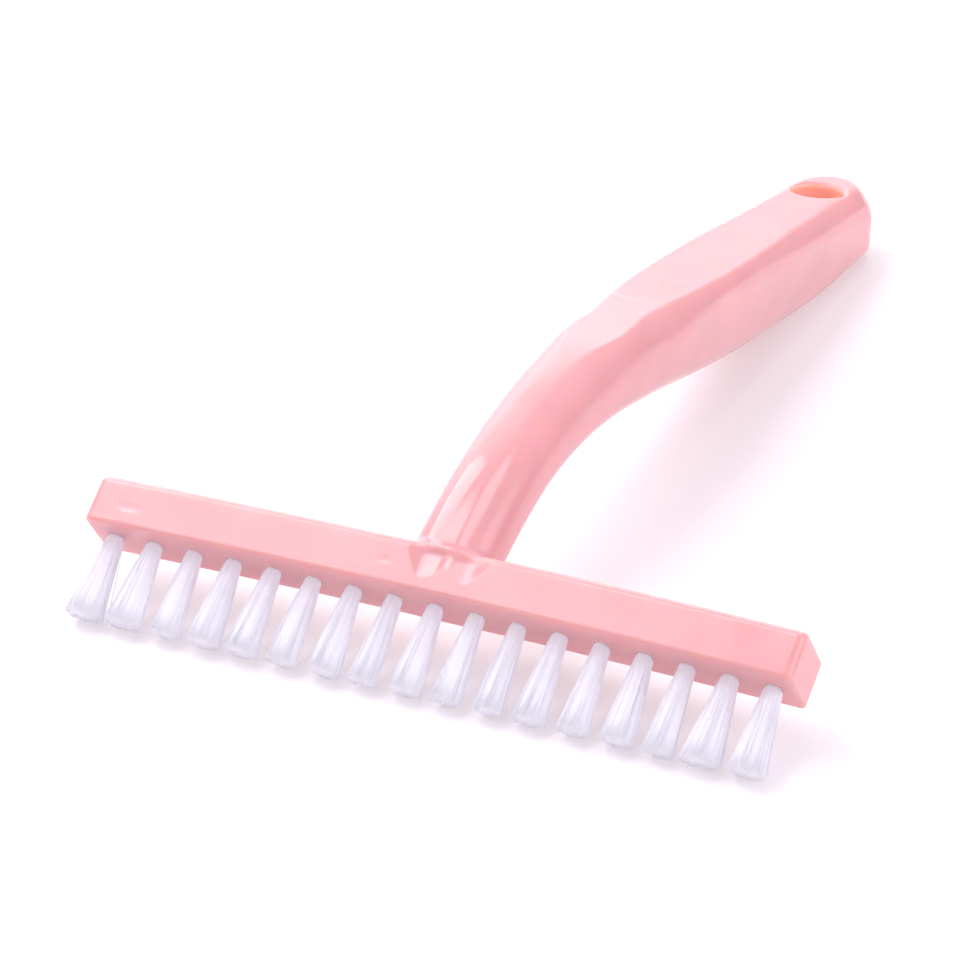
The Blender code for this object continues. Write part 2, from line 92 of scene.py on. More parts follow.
# Row of tuft holes
TUFT_COUNT = 17
TUFT_ROW_MARGIN = 0.0059
TUFT_PITCH = (HEAD_LENGTH - 2 * TUFT_ROW_MARGIN) / (TUFT_COUNT - 1)
TUFT_HOLE_RADIUS = 0.0019
TUFT_HOLE_TOP = HEAD_UNDERSIDE + 0.0080
TUFT_HOLE_RIM = 0.0001
TRIM_LENGTH = 0.0222

# Anchors at the bottom of the holes
ANCHOR_TURN = math.radians(25.0)
ANCHOR_TOP = TUFT_HOLE_TOP - 0.0013
ANCHOR_HEIGHT = 0.0016
ANCHOR_THICKNESS = 0.0004
FOLD_TOP = TUFT_HOLE_TOP - 0.0003

# Handle: the line down the middle of its front, a curve up the neck and a straight along the grip
NECK_REACH = 0.0776
NECK_RISE = 0.1249
NECK_PULL = 0.0600
NECK_END_PULL = 0.0563
NECK_LEAN = math.radians(8.0)
GRIP_LENGTH = 0.0996
GRIP_LEAN = math.radians(44.5)
NECK_STEPS = 400
SPARE_LENGTH = 0.03

# Handle: its sections
NECK_WIDTH = 0.0210
NECK_DEPTH = 0.0174
NECK_ROUNDNESS = 2.1
GRIP_WIDTH = 0.0262
BELLY_DEPTH = 0.0280
END_DEPTH = 0.0182
REST_END_REACH = 0.0093
REST_CROWN = 0.0058
END_CROWN = 0.0090
GRIP_ROUNDNESS = 2.4
FLANK_ROUNDNESS = 1.7
END_ROUNDNESS = 6.0
END_RADIUS = GRIP_WIDTH / 2
END_RIM = 0.0007
END_RIM_START = 0.0040
END_RIM_DEPTH_SHARES = (0.3, 0.8)
WIDEST_FLAT_SHARE = 0.98

# Handle: shares of its length between which one size turns into the next
SWELL_SHARES = (0.12, 0.46)
REST_SHARES = (0.36, 0.52)
BELLY_SHARES = (0.08, 0.70)
END_SHARES = (0.76, 1.02)

# Handle: width of the flat on its front at shares of its length, none up the round neck, pinched
# where the shoulder runs into the thumb rest and narrower again towards the hang hole
FLAT_WIDTH_SHARES = (
    (0.22, 0.0001),
    (0.26, 0.0025),
    (0.30, 0.0080),
    (0.34, 0.0132),
    (0.375, 0.0134),
    (0.41, 0.0118),
    (0.45, 0.0146),
    (0.50, 0.0174),
    (0.56, 0.0190),
    (0.62, 0.0196),
    (0.69, 0.0190),
    (0.77, 0.0170),
    (0.85, 0.0158),
    (1.00, 0.0150),
)

# Root: below the top of the head the front of the neck dives into it
ROOT_DEPTH = 0.0080
ROOT_DIVE = 0.0048
ROOT_DIVE_REACH = (0.0, 0.0045)

# Sink marks in the front of the head: place along it, distance below its top, half the length,
# half the height and the depth of each
SINK_MARKS = (
    (-0.0793, 0.0074, 0.0058, 0.0017, 0.00011),
    (-0.0128, 0.0067, 0.0030, 0.0014, 0.00008),
)

# Draft in the front of the head below the neck: its slope, how softly it starts, the distance
# below the head's top at which it stops growing, and how far down it reaches at places along it
ROOT_DRAFT = 0.10
ROOT_DRAFT_SOFTNESS = 0.0006
ROOT_DRAFT_TOP = 0.0030
ROOT_DRAFT_DROPS = (
    (-0.0090, 0.0020),
    (-0.0070, 0.0052),
    (-0.0038, 0.0092),
    (0.0000, 0.0084),
    (0.0024, 0.0058),
    (0.0046, 0.0072),
    (0.0080, 0.0090),
    (0.0108, 0.0062),
    (0.0135, 0.0015),
)

# Lip across the lower end of the thumb rest, which stands a little proud above it
LIP_HEIGHT = 0.0002
LIP_PLACE = 0.1110
LIP_BOW = 46.0
LIP_REACH = 0.0012
LIP_SHARES = (0.30, 0.40)

# Softness of the edge round the thumb rest, along the handle
NECK_EDGE = 0.0002
REST_EDGE = 0.0005
REST_END_EDGE = 0.0011
EDGE_SHARES = (0.30, 0.50)
EDGE_END_SHARES = (0.72, 0.95)

# Hang hole, and the reach of the painted glow round it from its axis and past its wall: a warmer
# colour painted in for light that shines through the thin end
HANG_RADIUS = 0.0070
HANG_SETBACK = 0.0192
HOLE_GLOW_REACH = 0.0120
HOLE_GLOW_EDGE = (0.0006, 0.0001)
HOLE_GLOW_LENGTH = 1000.0

# Camera and studio
CAMERA_PLACE = (0.41083, -0.90688, 0.53879)
CAMERA_TURN = (61.23849, 1.23062, 26.01493)
CAMERA_LENS = 168.75
CAMERA_SENSOR = 36.0
CAMERA_REACH = 20.0
FLOOR_SIZE = 6.0
FLOOR_DROP = 0.0001

# Soft patches of the surroundings: turn from +X and height above the table, in degrees, of their
# middle, the angles from it at which they start to fade and are gone, and their strength
OVERHEAD = (90.0, 90.0, 15.0, 80.0, 0.28)
OVERHEAD_SPOT = (75.0, 78.0, 7.0, 12.0, 3.5)
BACKDROP = (121.0, 8.0, 19.0, 32.0, 0.85)
LEFT_WALL = (133.0, 30.0, 18.0, 33.0, 1.2)
FRONT_LEFT = (-162.0, 59.0, 5.0, 15.0, 4.0)
FRONT_LOW = (-122.0, 42.0, 7.0, 15.0, 2.2)
LEFT_HIGH = (172.0, 67.5, 7.5, 11.5, 4.8)
RIGHT = (2.0, 32.0, 10.0, 30.0, 2.8)
PATCHES = (OVERHEAD, OVERHEAD_SPOT, BACKDROP, LEFT_WALL, LEFT_HIGH, FRONT_LEFT, FRONT_LOW, RIGHT)

KEY_PLACE = (-0.833, 0.229, 0.80)
KEY_AIM = (0.0, -0.08, 0.03)
KEY_SIZE = (0.42, 0.78)


def ease(value, limits):
    """0 before the limits, 1 past them, and a smooth turn between them."""
    start, end = limits
    position = np.clip((value - start) / (end - start), 0.0, 1.0)
    return position * position * (3.0 - 2.0 * position)


def between(first, second, share):
    return first + (second - first) * share


def along_curve(share, knots):
    """Height of the smooth curve through the knots, level before the first and past the last."""
    shares, heights = np.array(knots).T
    before = np.maximum(np.arange(len(shares)) - 1, 0)
    after = np.minimum(np.arange(len(shares)) + 1, len(shares) - 1)
    slopes = (heights[after] - heights[before]) / (shares[after] - shares[before])
    share = np.clip(share, shares[0], shares[-1])
    index = np.clip(np.searchsorted(shares, share) - 1, 0, len(shares) - 2)
    span = shares[index + 1] - shares[index]
    place = (share - shares[index]) / span
    height = between(heights[index], heights[index + 1], ease(place, (0.0, 1.0)))
    height = height + slopes[index] * span * place * (1.0 - place) ** 2
    return height - slopes[index + 1] * span * place**2 * (1.0 - place)


def brush_matrix():
    turn = Matrix.Rotation(BRUSH_LEAN, 4, "X")
    return Matrix.Translation(BRUSH_PLACE) @ turn


def to_table(points):
    """Points of the brush's own frame, laid on the table with it."""
    matrix = np.array(brush_matrix())
    return points @ matrix[:3, :3].T + matrix[:3, 3]


def head_rise(across):
    """How far the bowed head stands above a straight one, at places along its length."""
    reach = across / (HEAD_LENGTH / 2)
    return HEAD_BOW * (HEAD_BOW_RISE_SHARE - reach * reach)


# Distance fields: below zero inside a form, zero on its skin, above zero outside

LEAST_REACH = 0.0000001
LEAST_SHARE = 0.000001


def rounded_common(first, second, radius):
    """What two forms share, with the edge where their skins meet rounded."""
    over_first = np.maximum(first + radius, 0.0)
    over_second = np.maximum(second + radius, 0.0)
    inside = np.minimum(np.maximum(first, second), -radius)
    return inside + np.hypot(over_first, over_second)


def softly_joined(first, second, reach):
    """Two forms as one, with a hollow fillet where their skins meet."""
    nearness = np.maximum(reach - np.abs(first - second), 0.0)
    return np.minimum(first, second) - nearness * nearness / (4.0 * reach)


def sunk_front(x, z):
    """How far the sink marks and the draft below the neck draw the front of the head back."""
    sunk = 0.0
    for place, drop, half_length, half_height, depth in SINK_MARKS:
        reach = np.hypot((x - place) / half_length, (z - HEAD_TOP + drop) / half_height)
        sunk = sunk + depth * np.maximum(1.0 - reach * reach, 0.0) ** 2
    below = np.maximum(HEAD_TOP - z, ROOT_DRAFT_TOP)
    rise = np.maximum(along_curve(x, ROOT_DRAFT_DROPS) - below, 0.0)
    return sunk + ROOT_DRAFT * rise * rise / (rise + ROOT_DRAFT_SOFTNESS)


def head_distance(points):
    x, y, z = points.T
    z = z - head_rise(x)
    ends = np.abs(x) - HEAD_LENGTH / 2
    front = HEAD_FRONT - y + sunk_front(x, z)
    back = y + HEAD_FRONT
    upright = rounded_common(ends, front, HEAD_CREST_RADIUS)
    upright = rounded_common(upright, back, HEAD_EDGE_RADIUS)
    towards_front = ease(front - np.maximum(ends, back), HEAD_CREST_TURN)
    crest = between(HEAD_EDGE_RADIUS, HEAD_CREST_RADIUS, towards_front)
    topped = rounded_common(upright, z - HEAD_TOP, crest)
    return rounded_common(topped, HEAD_UNDERSIDE - z, HEAD_EDGE_RADIUS)


def handle_line():
    """Distance along the middle of the handle's front, with the place and the lean at each."""
    start = np.array((HEAD_FRONT, HEAD_TOP))
    end = start + (NECK_REACH, NECK_RISE)
    neck_way = np.array((math.sin(NECK_LEAN), math.cos(NECK_LEAN)))
    grip_way = np.array((math.sin(GRIP_LEAN), math.cos(GRIP_LEAN)))
    leaving = start + neck_way * NECK_PULL
    arriving = end - grip_way * NECK_END_PULL
    share = np.linspace(0.0, 1.0, NECK_STEPS + 1)[:, None]
    rest = 1.0 - share
    neck = rest**3 * start + 3 * rest**2 * share * leaving
    neck = neck + 3 * rest * share**2 * arriving + share**3 * end
    slope = rest**2 * (leaving - start) + 2 * rest * share * (arriving - leaving)
    slope = slope + share**2 * (end - arriving)
    lean = np.arctan2(slope[:, 0], slope[:, 1])
    travelled = np.concatenate(((0.0,), np.cumsum(np.hypot(*np.diff(neck, axis=0).T))))
    spare = GRIP_LENGTH + SPARE_LENGTH
    along = np.concatenate(((-SPARE_LENGTH,), travelled, (travelled[-1] + spare,)))
    first = start - neck_way * SPARE_LENGTH
    last = end + grip_way * spare
    line_y, line_z = np.concatenate(((first,), neck, (last,))).T
    leans = np.concatenate(((NECK_LEAN,), lean, (GRIP_LEAN,)))
    return along, line_y, line_z, leans, travelled[-1]


HANDLE_ALONG, HANDLE_Y, HANDLE_Z, HANDLE_LEAN, NECK_LENGTH = handle_line()
HANDLE_LENGTH = NECK_LENGTH + GRIP_LENGTH
HANG_ALONG = HANDLE_LENGTH - HANG_SETBACK
LINE_SEARCH_STEPS = 6
FIRST_GUESS_STEPS = 60


def line_place(along):
    """Where the handle's line is in Y and in Z, at distances along it."""
    return np.interp(along, HANDLE_ALONG, HANDLE_Y), np.interp(along, HANDLE_ALONG, HANDLE_Z)


def along_handle(points):
    """For each point, how far along the handle and how deep below its front it is."""
    y, z = points[:, 1], points[:, 2]
    guesses = np.linspace(HANDLE_ALONG[0], HANDLE_ALONG[-1], FIRST_GUESS_STEPS)
    nearest = np.full(len(points), np.inf)
    along = np.zeros(len(points))
    for guess, line_y, line_z in zip(guesses, *line_place(guesses)):
        gap = np.hypot(y - line_y, z - line_z)
        closer = gap < nearest
        nearest[closer] = gap[closer]
        along[closer] = guess
    for _ in range(LINE_SEARCH_STEPS):
        lean = np.interp(along, HANDLE_ALONG, HANDLE_LEAN)
        line_y, line_z = line_place(along)
        along = along + (y - line_y) * np.sin(lean) + (z - line_z) * np.cos(lean)
        along = np.clip(along, HANDLE_ALONG[0], HANDLE_ALONG[-1])
    lean = np.interp(along, HANDLE_ALONG, HANDLE_LEAN)
    line_y, line_z = line_place(along)
    depth = (y - line_y) * np.cos(lean) - (z - line_z) * np.sin(lean)
    past = (y - line_y) * np.sin(lean) + (z - line_z) * np.cos(lean)
    return along + past, depth


def section_sizes(share):
    """Width, depth, flat, crown and the two roundnesses of the handle at shares of its length."""
    rest = ease(share, REST_SHARES)
    width = between(NECK_WIDTH, GRIP_WIDTH, ease(share, SWELL_SHARES))
    depth = between(NECK_DEPTH, BELLY_DEPTH, ease(share, BELLY_SHARES))
    depth = between(depth, END_DEPTH, ease(share, END_SHARES))
    flat = along_curve(share, FLAT_WIDTH_SHARES)
    crown = between(depth / 2, REST_CROWN, rest)
    crown = between(crown, END_CROWN, ease(share, END_SHARES))
    flank = between(NECK_ROUNDNESS, FLANK_ROUNDNESS, rest)
    roundness = between(NECK_ROUNDNESS, GRIP_ROUNDNESS, rest)
    roundness = between(roundness, END_ROUNDNESS, ease(share, END_SHARES))
    return width, depth, flat, crown, flank, roundness


def oval_distance(side, rise, half_width, half_height, power):
    """Nearly the distance to a squared oval, from a point in the plane of the oval."""
    side = np.maximum(np.abs(side), LEAST_REACH) / half_width
    rise = np.maximum(np.abs(rise), LEAST_REACH) / half_height
    reach = (side**power + rise**power) ** (1.0 / power)
    slope_side = (side / reach) ** (power - 1.0) / half_width
    slope_rise = (rise / reach) ** (power - 1.0) / half_height
    return (reach - 1.0) / np.hypot(slope_side, slope_rise)


def rest_edge(share, softness):
    """How softly the edge of the handle's front is rounded, at shares of its length."""
    edge = between(NECK_EDGE, softness, ease(share, EDGE_SHARES))
    return between(edge, REST_END_EDGE, ease(share, EDGE_END_SHARES))


def front_dip(along, share, side):
    """How far the handle's front lies below its line: under the lip and where the root dives."""
    lip = along - LIP_PLACE - LIP_BOW * side * side
    dip = LIP_HEIGHT * (1.0 - ease(lip, (-LIP_REACH, LIP_REACH))) * ease(share, LIP_SHARES)
    return dip + ROOT_DIVE * ease(-along, ROOT_DIVE_REACH)


def handle_distance(points, softness):
    along, depth = along_handle(points)
    share = along / HANDLE_LENGTH
    width, full_depth, flat, crown, flank, roundness = section_sizes(share)
    side = np.abs(points[:, 0])
    dip = front_dip(along, share, side)
    past = np.maximum(along - (HANDLE_LENGTH - END_RADIUS), 0.0)
    reach = np.hypot(side, past)
    flat_reach = np.hypot(side / (flat / 2), past / REST_END_REACH)
    half_flat = np.where(past > 0.0, reach / np.maximum(flat_reach, LEAST_SHARE), flat / 2)
    half_width = width / 2
    planed = np.clip(half_flat / half_width, 0.0, WIDEST_FLAT_SHARE) ** flank
    upper_height = (crown - dip) / (1.0 - planed) ** (1.0 / flank)
    upper = oval_distance(reach, depth - crown, half_width, upper_height, flank)
    lower = oval_distance(side, depth - crown, half_width, full_depth - crown, roundness)
    low_share = (depth - crown) / (full_depth - crown)
    rim = END_RIM * ease(low_share, END_RIM_DEPTH_SHARES) * ease(past, (0.0, END_RIM_START))
    lower = rounded_common(lower, reach - half_width, rim)
    oval = np.where(depth < crown, upper, lower)
    topped = rounded_common(oval, dip - depth, rest_edge(share, softness))
    return np.maximum(topped, -ROOT_DEPTH - along)


def tuft_hole_distance(points):
    x, y, z = points.T
    place = np.clip(np.round(x / TUFT_PITCH), -(TUFT_COUNT // 2), TUFT_COUNT // 2)
    middle = place * TUFT_PITCH
    bore = np.hypot(x - middle, y) - TUFT_HOLE_RADIUS
    return np.maximum(bore, z - TUFT_HOLE_TOP - head_rise(middle))


def hang_hole_distance(points):
    centre_y, centre_z = line_place(HANG_ALONG)
    ahead = (points[:, 1] - centre_y) * math.sin(GRIP_LEAN)
    ahead = ahead + (points[:, 2] - centre_z) * math.cos(GRIP_LEAN)
    return np.hypot(points[:, 0], ahead) - HANG_RADIUS


def body_distance(points, moulding):
    head = head_distance(points)
    handle = handle_distance(points, moulding.rest_edge)
    solid = softly_joined(head, handle, moulding.root_blend)
    solid = rounded_common(solid, -tuft_hole_distance(points), TUFT_HOLE_RIM)
    return rounded_common(solid, -hang_hole_distance(points), moulding.hole_rim)


# Skin of a distance field

BLOCK_CELLS = 8
BLOCK_REACH = 1.3
SETTLE_STEPS = 5
SLOPE_STEP = 0.00001
LEAST_SLOPE = 0.05
LEAST_MOVE = 1e-12
SKIN_MARGIN = 0.0020


def lattice_near_skin(distance, low, high, cell):
    """Whole-number corners of the cells in every block that the skin may cross, in order."""
    block = BLOCK_CELLS * cell
    counts = np.ceil((high - low) / block).astype(np.int64)
    blocks = np.stack(np.meshgrid(*map(np.arange, counts), indexing="ij"), -1).reshape(-1, 3)
    centres = low + (blocks + 0.5) * block
    blocks = blocks[np.abs(distance(centres)) < BLOCK_REACH * block]
    steps = np.arange(BLOCK_CELLS + 1)
    corners = np.stack(np.meshgrid(steps, steps, steps, indexing="ij"), -1).reshape(-1, 3)
    spans = counts * BLOCK_CELLS + 2
    strides = np.array((spans[1] * spans[2], spans[2], 1))
    numbers = [(corner_set @ strides) for corner_set in (blocks * BLOCK_CELLS)[:, None] + corners]
    return np.unique(np.concatenate(numbers)), strides


def places_of(numbers, strides, low, cell):
    first, rest = np.divmod(numbers, strides[0])
    second, third = np.divmod(rest, strides[1])
    return low + np.stack((first, second, third), -1) * cell


def skin_of(distance, low, high, cell):
    """One corner in each cell that the skin crosses, and the squares that join them."""
    numbers, strides = lattice_near_skin(distance, low, high, cell)
    places = places_of(numbers, strides, low, cell)
    values = distance(places)
    squares, crossings = [], []
    for axis in range(3):
        others = [strides[(axis + 1) % 3], strides[(axis + 2) % 3]]
        ahead = np.searchsorted(numbers, numbers + strides[axis])
        ahead = np.minimum(ahead, len(numbers) - 1)
        joined = numbers[ahead] == numbers + strides[axis]
        crossed = np.nonzero(joined & ((values < 0) != (values[ahead] < 0)))[0]
        after = ahead[crossed]
        share = values[crossed] / (values[crossed] - values[after])
        crossing = between(places[crossed], places[after], share[:, None])
        number = numbers[crossed]
        square = np.stack(
            (number, number - others[0], number - others[0] - others[1], number - others[1]), -1
        )
        leaving = values[crossed] >= 0
        square[leaving] = square[leaving][:, ::-1]
        squares.append(square)
        crossings.append(crossing)
    squares = np.concatenate(squares)
    crossings = np.concatenate(crossings)
    cells, corners = np.unique(squares, return_inverse=True)
    corners = corners.reshape(squares.shape)
    counts = np.bincount(corners.ravel(), minlength=len(cells))
    points = np.empty((len(cells), 3))
    for axis in range(3):
        weights = np.repeat(crossings[:, axis], corners.shape[1])
        points[:, axis] = np.bincount(corners.ravel(), weights, len(cells)) / counts
    return points, corners


def slopes_of(distance, points):
    """Which way the distance grows at each point."""
    slopes = np.empty_like(points)
    for axis in range(3):
        step = np.zeros(3)
        step[axis] = SLOPE_STEP
        slopes[:, axis] = distance(points + step) - distance(points - step)
    return slopes / (2 * SLOPE_STEP)


def settled_on_skin(distance, points, furthest):
    """Points moved straight onto the skin, and the skin's outward direction at each."""
    for _ in range(SETTLE_STEPS):
        slopes = slopes_of(distance, points)
        strength = np.maximum((slopes * slopes).sum(1), LEAST_SLOPE)
        move = slopes * (distance(points) / strength)[:, None]
        length = np.linalg.norm(move, axis=1)[:, None]
        points = points - move * np.minimum(1.0, furthest / np.maximum(length, LEAST_MOVE))
    slopes = slopes_of(distance, points)
    return points, slopes / np.linalg.norm(slopes, axis=1)[:, None]


def body_reach():
    """Lowest and highest corner of a box round the body, in the brush's own frame."""
    end_y, end_z = line_place(HANDLE_LENGTH)
    low = np.array((-HEAD_LENGTH / 2, HEAD_FRONT, HEAD_UNDERSIDE)) - SKIN_MARGIN
    high = np.array((HEAD_LENGTH / 2, end_y + BELLY_DEPTH, end_z + SKIN_MARGIN)) + SKIN_MARGIN
    return low, high


def build_body(moulding, solid_box):
    cell = moulding.cell * 1.0

    def distance(points):
        return body_distance(points, moulding)

    low, high = body_reach()
    points, squares = skin_of(distance, low, high, cell)
    points, normals = settled_on_skin(distance, points, cell)
    turn = np.array(brush_matrix())[:3, :3]
    mesh = bpy.data.meshes.new("moulded_body")
    mesh.from_pydata(np.clip(to_table(points), *np.array(solid_box)), (), squares.tolist())
    mesh.validate()
    mesh.shade_smooth()
    mesh.normals_split_custom_set_from_vertices((normals @ turn.T).tolist())
    return mesh


# Tufts

FILAMENT_SIDES = 4
PLACES_PER_LEG = 4
FAN_SHARES = (0.035, 0.30, 0.65, 1.0)
FAN_START = 0.12
GOLDEN_ANGLE = math.radians(137.508)
WALL_GAP = 0.00012
LEG_REACH = TUFT_HOLE_RADIUS - WALL_GAP
LEG_GAP = 0.0001
ANCHOR_GAP = ANCHOR_THICKNESS / 2 + LEG_GAP
FOLD_CLEARANCE = 0.0002
TUFT_LEAN = 0.0003
CLUMP_COUNT = 13
CLUMP_REACH = 0.95
CLUMP_WANDER = 0.06
CLUMP_PULL = 0.35
CLUMP_PULL_SHARES = (0.4, 1.6)
TRIM_SHARES = (0.0, 0.5)
TIP_WANDER = 0.00012
FILAMENT_BOW = 0.0001
SPARSE_SIDE = 0.35
STRAY_COUNT = 4
STRAY_REACH = 0.0013
STRAY_SHARES = (0.3, 1.0)
TABLE_MARGIN = 0.00016
CORE_SIDES = 56
CORE_RINGS = 8
CORE_SHARE = 0.98
CORE_TIP_SHARE = 0.88
CORE_START_SHARE = -0.02
CORE_LENGTH_SHARE = 0.965
CORE_RING_POWER = 1.6
CORE_RIDGES = ((6, 0.02), (11, 0.02), (17, 0.015))

# Painted glow given off by the nylon as emission, at shares of the way from its tips to the hole,
# as shares of the most: brightest at the mouth and at the tips, lifting the shade there
PAINTED_GLOW_SHARES = ((0.0, 0.8), (0.25, 0.45), (0.65, 0.35), (1.0, 1.0))

# Width of each tuft at its tip, from left to right, as a share of the usual one
TUFT_SPREAD_SHARES = (
    1.16, 1.12, 0.88, 0.99, 1.00, 0.88, 0.97, 0.86, 0.92, 0.86, 0.84, 0.95, 0.90, 0.96, 0.91,
    1.14, 1.08,
)


def leg_places(count):
    """Where the filaments on one side of the anchor stand in the hole, in the anchor's turn."""
    numbers = np.arange(PLACES_PER_LEG * count) + 0.5
    distance = LEG_REACH * np.sqrt(numbers / len(numbers))
    bearing = numbers * GOLDEN_ANGLE
    places = np.stack((distance * np.cos(bearing), distance * np.sin(bearing)), -1)
    one_side = places[places[:, 1] > ANCHOR_GAP]
    chosen = np.linspace(0, len(one_side) - 1, count).astype(int)
    return one_side[chosen]


def mouth_across(along, across):
    """Where a leg stands across the mouth of its hole, past the anchor between the legs."""
    room = math.sqrt(max(LEG_REACH**2 - along**2, 0.0))
    share = (abs(across) - ANCHOR_GAP) / max(room - ANCHOR_GAP, ANCHOR_GAP)
    return math.copysign(between(LEG_GAP, max(room, LEG_GAP), min(share, 1.0)), across)


def anchor_turn(along, across):
    """A place in the anchor's own turn, as one across and one along the brush's head."""
    turn_cos, turn_sin = math.cos(ANCHOR_TURN), math.sin(ANCHOR_TURN)
    return np.array((along * turn_cos - across * turn_sin, along * turn_sin + across * turn_cos))


def fanned(share_places, spread):
    """Places on the trimmed tip for places in a circle of radius one, sparser on the right."""
    x, y = share_places.T
    stretch = 1.0 + SPARSE_SIDE * np.maximum(x, 0.0) ** 2
    return np.stack((x * stretch, y), -1) * spread / 2


class Bundle:
    """What the filaments of one tuft share."""

    def __init__(self, tufts, number):
        self.rng = np.random.default_rng(tufts.seed + number)
        self.spread = tufts.spread * TUFT_SPREAD_SHARES[number]
        self.middle = (number - (TUFT_COUNT - 1) / 2) * TUFT_PITCH
        self.rise = head_rise(self.middle)
        self.lean = self.rng.normal(0.0, 1.0) * TUFT_LEAN
        self.raggedness = tufts.raggedness
        bearings = np.arange(CLUMP_COUNT) * GOLDEN_ANGLE + self.rng.uniform(0.0, math.tau)
        reaches = CLUMP_REACH * np.sqrt((np.arange(CLUMP_COUNT) + 0.5) / CLUMP_COUNT)
        self.clumps = np.stack((reaches * np.cos(bearings), reaches * np.sin(bearings)), -1)
        self.clump_trims = self.rng.uniform(*TRIM_SHARES, CLUMP_COUNT) * tufts.raggedness
        self.strays = self.rng.choice(tufts.filament_count // 2, STRAY_COUNT, replace=False)


def fan_share(share):
    """How far a tuft has fanned out at shares of its length, faster where it leaves the hole."""
    return between(share, min(max(share, 0.0) / FAN_SHARES[0], 1.0), FAN_START)


def filament_tip(bundle, mouth):
    """Where a filament that leaves the hole at a mouth ends, and how long it is."""
    rng = bundle.rng
    place = mouth / LEG_REACH
    gaps = np.hypot(*(bundle.clumps - place).T) + rng.normal(0.0, CLUMP_WANDER, CLUMP_COUNT)
    clump = int(np.argmin(gaps))
    place = between(place, bundle.clumps[clump], CLUMP_PULL * rng.uniform(*CLUMP_PULL_SHARES))
    tip = fanned(place[None], bundle.spread)[0] + rng.normal(0.0, TIP_WANDER, 2)
    tip[0] += bundle.lean
    trim = bundle.clump_trims[clump] + rng.uniform(*TRIM_SHARES) * bundle.raggedness
    return tip, TRIM_LENGTH - trim


def filament_end(bundle, along, across, stray):
    """Half of a folded filament: from beside its anchor down to its tip."""
    beside = anchor_turn(along, across)
    mouth = anchor_turn(along, mouth_across(along, across))
    tip, length = filament_tip(bundle, mouth)
    if stray:
        tip = tip + tip / np.hypot(*tip) * STRAY_REACH * bundle.rng.uniform(*STRAY_SHARES)
    bow = bundle.rng.normal(0.0, FILAMENT_BOW, 2)
    rise = bundle.rise
    path = [
        (*beside, ANCHOR_TOP + rise),
        (*beside, ANCHOR_TOP - ANCHOR_HEIGHT + rise),
        (*mouth, HEAD_UNDERSIDE + FOLD_CLEARANCE + rise),
    ]
    for share in FAN_SHARES:
        x, y = between(mouth, tip, fan_share(share)) + bow * math.sin(math.pi * share)
        path.append((x, y, HEAD_UNDERSIDE + rise - (length + rise) * share))
    return np.array(path)


def filament_lines(tufts, bundle):
    """The middle line of every folded filament of one tuft, from tip to fold to tip."""
    lines = []
    for number, (along, across) in enumerate(leg_places(tufts.filament_count // 2)):
        stray = number in bundle.strays
        first = filament_end(bundle, along, across, stray)
        second = filament_end(bundle, along, -across, False)
        lowest, highest = ANCHOR_TOP + FOLD_CLEARANCE, FOLD_TOP - LEG_GAP
        height = between(lowest, highest, across / TUFT_HOLE_RADIUS)
        fold = (*anchor_turn(along, 0.0), height + bundle.rise)
        lines.append(np.concatenate((first[::-1], (fold,), second)))
    return lines


def stacked_rings(rings):
    """Corners and squares of a closed body through rings of equally many corners."""
    count, sides = rings.shape[:2]
    faces = []
    for ring in range(count - 1):
        for corner in range(sides):
            following = (corner + 1) % sides
            low, high = ring * sides, (ring + 1) * sides
            faces.append((low + corner, low + following, high + following, high + corner))
    faces.append(tuple(range(sides))[::-1])
    last = (count - 1) * sides
    faces.append(tuple(range(last, last + sides)))
    return rings.reshape(-1, 3), faces


def tube_around(line, thickness):
    """Corners and squares of a closed tube along a line, its ends cut level."""
    directions = np.gradient(line, axis=0)
    directions /= np.linalg.norm(directions, axis=1)[:, None]
    side = np.cross(directions, (0.0, 1.0, 0.0))
    side /= np.linalg.norm(side, axis=1)[:, None]
    up = np.cross(side, directions)
    angles = np.arange(FILAMENT_SIDES) * math.tau / FILAMENT_SIDES
    rings = (
        line[:, None]
        + side[:, None] * np.cos(angles)[:, None] * thickness / 2
        + up[:, None] * np.sin(angles)[:, None] * thickness / 2
    )
    return stacked_rings(rings)


def tuft_core(bundle):
    """The filaments that stand too close to tell apart, as one ridged cone inside the tuft."""
    angles = np.arange(CORE_SIDES) * math.tau / CORE_SIDES
    reach = np.ones(CORE_SIDES)
    for ridges, height in CORE_RIDGES:
        reach = reach + height * np.cos(ridges * angles + bundle.rng.uniform(0.0, math.tau))
    places = np.stack((reach * np.cos(angles), reach * np.sin(angles)), -1)
    tips = fanned(places * CORE_TIP_SHARE, bundle.spread) + (bundle.lean, 0.0)
    rings = []
    for step in np.linspace(0.0, 1.0, CORE_RINGS):
        share = between(CORE_START_SHARE, CORE_LENGTH_SHARE, step**CORE_RING_POWER)
        across = between(places * CORE_SHARE * LEG_REACH, tips, fan_share(max(share, 0.0)))
        height = HEAD_UNDERSIDE + bundle.rise - (TRIM_LENGTH + bundle.rise) * share
        rings.append(np.column_stack((across, np.full(CORE_SIDES, height))))
    return stacked_rings(np.array(rings)[::-1])


def cut_at_table(line):
    """A filament's line, drawn back along itself where an end would reach below the table."""
    for order in (1, -1):
        ends = line[::order]
        table = to_table(ends[:2])
        if table[0, 2] < TABLE_MARGIN:
            share = (TABLE_MARGIN - table[0, 2]) / (table[1, 2] - table[0, 2])
            ends[0] = between(ends[0], ends[1], share)
    return line


